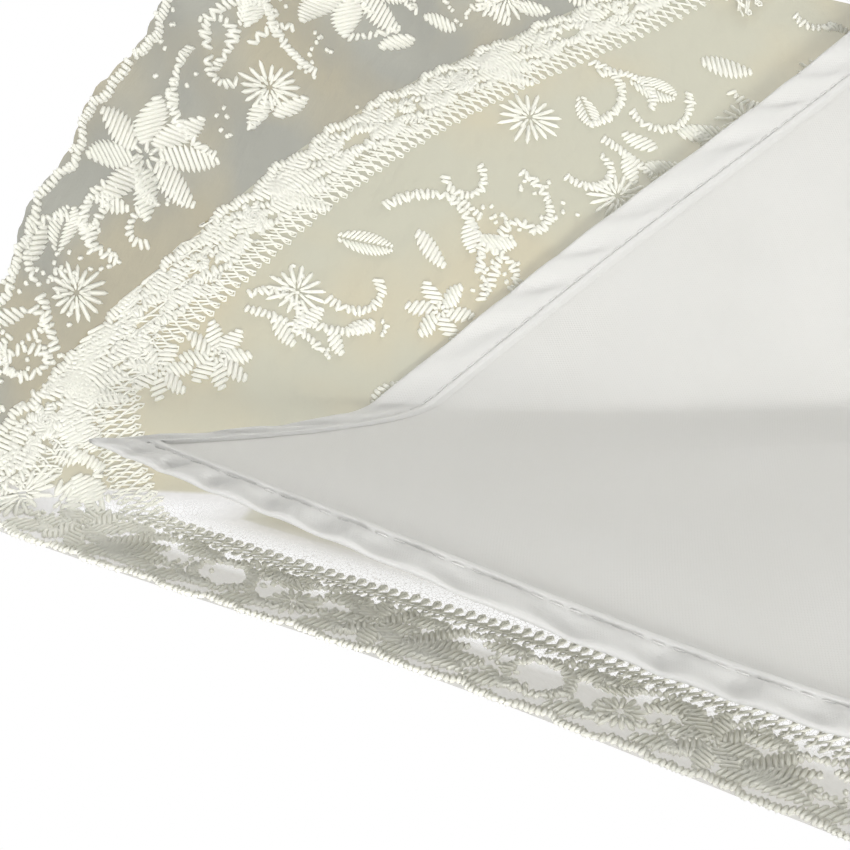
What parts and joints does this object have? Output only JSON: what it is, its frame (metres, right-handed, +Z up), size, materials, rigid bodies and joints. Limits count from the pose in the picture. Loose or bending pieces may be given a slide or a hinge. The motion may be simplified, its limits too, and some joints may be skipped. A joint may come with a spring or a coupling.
{
  "type": "lace parasol",
  "caption": "Open lace parasol on a folding ribbed frame, with a hemmed cotton lining under a scalloped embroidered lace cover, for shading a person.",
  "frame": {"origin": "middle of the hand grip, on the shaft's axis", "axes": "+Z up the shaft from the grip to the ferrule; +X from the shaft out along rib 1; ribs are numbered counter-clockwise seen from above"},
  "size_m": [0.7744, 0.7744, 0.655],
  "materials": {
    "cotton_lining": "plain-weave cotton, matt",
    "lace": "embroidered net, matt with a slight thread sheen",
    "rib_steel": "nickel-plated, satin",
    "fitting_brass": "polished, lacquered",
    "shaft_paint": "ivory enamel, satin",
    "turned_wood": "pale beech, waxed",
    "tip_plastic": "ivory, gloss"
  },
  "bodies": {
    "frame": {"shaft": "shaft_paint", "handle": "turned_wood", "handle_collar": "fitting_brass", "handle_cap": "turned_wood", "top_notch": "fitting_brass", "notch_wire": "rib_steel", "ferrule": "turned_wood", "rosette": "lace"},
    "runner": {"runner": "fitting_brass", "runner_wire": "rib_steel"},
    "rib_1": {"rib_1": "rib_steel", "rib_tip_1": "tip_plastic", "rib_joiner_1": "rib_steel", "lining_panel_1": "cotton_lining", "lace_panel_1": "lace"},
    "stretcher_1": {"stretcher_1": "rib_steel"},
    "rib_2": {"rib_2": "rib_steel", "rib_tip_2": "tip_plastic", "rib_joiner_2": "rib_steel", "lining_panel_2": "cotton_lining", "lace_panel_2": "lace"},
    "stretcher_2": {"stretcher_2": "rib_steel"},
    "rib_3": {"rib_3": "rib_steel", "rib_tip_3": "tip_plastic", "rib_joiner_3": "rib_steel", "lining_panel_3": "cotton_lining", "lace_panel_3": "lace"},
    "stretcher_3": {"stretcher_3": "rib_steel"},
    "rib_4": {"rib_4": "rib_steel", "rib_tip_4": "tip_plastic", "rib_joiner_4": "rib_steel", "lining_panel_4": "cotton_lining", "lace_panel_4": "lace"},
    "stretcher_4": {"stretcher_4": "rib_steel"},
    "rib_5": {"rib_5": "rib_steel", "rib_tip_5": "tip_plastic", "rib_joiner_5": "rib_steel", "lining_panel_5": "cotton_lining", "lace_panel_5": "lace"},
    "stretcher_5": {"stretcher_5": "rib_steel"},
    "rib_6": {"rib_6": "rib_steel", "rib_tip_6": "tip_plastic", "rib_joiner_6": "rib_steel", "lining_panel_6": "cotton_lining", "lace_panel_6": "lace"},
    "stretcher_6": {"stretcher_6": "rib_steel"},
    "rib_7": {"rib_7": "rib_steel", "rib_tip_7": "tip_plastic", "rib_joiner_7": "rib_steel", "lining_panel_7": "cotton_lining", "lace_panel_7": "lace"},
    "stretcher_7": {"stretcher_7": "rib_steel"},
    "rib_8": {"rib_8": "rib_steel", "rib_tip_8": "tip_plastic", "rib_joiner_8": "rib_steel", "lining_panel_8": "cotton_lining", "lace_panel_8": "lace"},
    "stretcher_8": {"stretcher_8": "rib_steel"},
    "top_spring": {"top_spring": "rib_steel"},
    "bottom_spring": {"bottom_spring": "rib_steel"}
  },
  "joints": [
    {"name": "runner_slide", "type": "slide", "parent": "frame", "child": "runner", "axis": [0, 0, -1], "range_m": [0, 0.21], "deforming": ["lining_panel_1", "lace_panel_1", "lining_panel_2", "lace_panel_2", "lining_panel_3", "lace_panel_3", "lining_panel_4", "lace_panel_4", "lining_panel_5", "lace_panel_5", "lining_panel_6", "lace_panel_6", "lining_panel_7", "lace_panel_7", "lining_panel_8", "lace_panel_8"]},
    {"name": "rib_hinge_1", "type": "hinge", "parent": "frame", "child": "rib_1", "pos_m": [0.0115, 0, 0.525], "axis": [0, 1, 0], "range_deg": [0, 64.13]},
    {"name": "stretcher_hinge_1", "type": "hinge", "parent": "rib_1", "child": "stretcher_1", "pos_m": [0.15461, 0, 0.48284], "axis": [0, -1, 0], "range_deg": [0, 128.27]},
    {"name": "rib_hinge_2", "type": "hinge", "parent": "frame", "child": "rib_2", "pos_m": [0.00813, 0.00813, 0.525], "axis": [-0.7071, 0.7071, 0], "range_deg": [0, 64.13]},
    {"name": "stretcher_hinge_2", "type": "hinge", "parent": "rib_2", "child": "stretcher_2", "pos_m": [0.10933, 0.10933, 0.48284], "axis": [0.7071, -0.7071, 0], "range_deg": [0, 128.27]},
    {"name": "rib_hinge_3", "type": "hinge", "parent": "frame", "child": "rib_3", "pos_m": [0, 0.0115, 0.525], "axis": [-1, 0, 0], "range_deg": [0, 64.13]},
    {"name": "stretcher_hinge_3", "type": "hinge", "parent": "rib_3", "child": "stretcher_3", "pos_m": [0, 0.15461, 0.48284], "axis": [1, 0, 0], "range_deg": [0, 128.27]},
    {"name": "rib_hinge_4", "type": "hinge", "parent": "frame", "child": "rib_4", "pos_m": [-0.00813, 0.00813, 0.525], "axis": [-0.7071, -0.7071, 0], "range_deg": [0, 64.13]},
    {"name": "stretcher_hinge_4", "type": "hinge", "parent": "rib_4", "child": "stretcher_4", "pos_m": [-0.10933, 0.10933, 0.48284], "axis": [0.7071, 0.7071, 0], "range_deg": [0, 128.27]},
    {"name": "rib_hinge_5", "type": "hinge", "parent": "frame", "child": "rib_5", "pos_m": [-0.0115, 0, 0.525], "axis": [0, -1, 0], "range_deg": [0, 64.13]},
    {"name": "stretcher_hinge_5", "type": "hinge", "parent": "rib_5", "child": "stretcher_5", "pos_m": [-0.15461, 0, 0.48284], "axis": [0, 1, 0], "range_deg": [0, 128.27]},
    {"name": "rib_hinge_6", "type": "hinge", "parent": "frame", "child": "rib_6", "pos_m": [-0.00813, -0.00813, 0.525], "axis": [0.7071, -0.7071, 0], "range_deg": [0, 64.13]},
    {"name": "stretcher_hinge_6", "type": "hinge", "parent": "rib_6", "child": "stretcher_6", "pos_m": [-0.10933, -0.10933, 0.48284], "axis": [-0.7071, 0.7071, 0], "range_deg": [0, 128.27]},
    {"name": "rib_hinge_7", "type": "hinge", "parent": "frame", "child": "rib_7", "pos_m": [0, -0.0115, 0.525], "axis": [1, 0, 0], "range_deg": [0, 64.13]},
    {"name": "stretcher_hinge_7", "type": "hinge", "parent": "rib_7", "child": "stretcher_7", "pos_m": [0, -0.15461, 0.48284], "axis": [-1, 0, 0], "range_deg": [0, 128.27]},
    {"name": "rib_hinge_8", "type": "hinge", "parent": "frame", "child": "rib_8", "pos_m": [0.00813, -0.00813, 0.525], "axis": [0.7071, 0.7071, 0], "range_deg": [0, 64.13]},
    {"name": "stretcher_hinge_8", "type": "hinge", "parent": "rib_8", "child": "stretcher_8", "pos_m": [0.10933, -0.10933, 0.48284], "axis": [-0.7071, -0.7071, 0], "range_deg": [0, 128.27]},
    {"name": "top_spring_press", "type": "slide", "parent": "frame", "child": "top_spring", "axis": [-0.9239, -0.3827, 0], "range_m": [0, 0.0022], "stiffness_N_per_m": 400},
    {"name": "bottom_spring_press", "type": "slide", "parent": "frame", "child": "bottom_spring", "axis": [-0.9239, -0.3827, 0], "range_m": [0, 0.0022], "stiffness_N_per_m": 400}
  ],
  "couplings": [
    {"joint": "rib_hinge_1", "follows": "runner_slide", "rad_per_m": 5.3293},
    {"joint": "stretcher_hinge_1", "follows": "runner_slide", "rad_per_m": 10.659},
    {"joint": "rib_hinge_2", "follows": "runner_slide", "rad_per_m": 5.3293},
    {"joint": "stretcher_hinge_2", "follows": "runner_slide", "rad_per_m": 10.659},
    {"joint": "rib_hinge_3", "follows": "runner_slide", "rad_per_m": 5.3293},
    {"joint": "stretcher_hinge_3", "follows": "runner_slide", "rad_per_m": 10.659},
    {"joint": "rib_hinge_4", "follows": "runner_slide", "rad_per_m": 5.3293},
    {"joint": "stretcher_hinge_4", "follows": "runner_slide", "rad_per_m": 10.659},
    {"joint": "rib_hinge_5", "follows": "runner_slide", "rad_per_m": 5.3293},
    {"joint": "stretcher_hinge_5", "follows": "runner_slide", "rad_per_m": 10.659},
    {"joint": "rib_hinge_6", "follows": "runner_slide", "rad_per_m": 5.3293},
    {"joint": "stretcher_hinge_6", "follows": "runner_slide", "rad_per_m": 10.659},
    {"joint": "rib_hinge_7", "follows": "runner_slide", "rad_per_m": 5.3293},
    {"joint": "stretcher_hinge_7", "follows": "runner_slide", "rad_per_m": 10.659},
    {"joint": "rib_hinge_8", "follows": "runner_slide", "rad_per_m": 5.3293},
    {"joint": "stretcher_hinge_8", "follows": "runner_slide", "rad_per_m": 10.659}
  ]
}
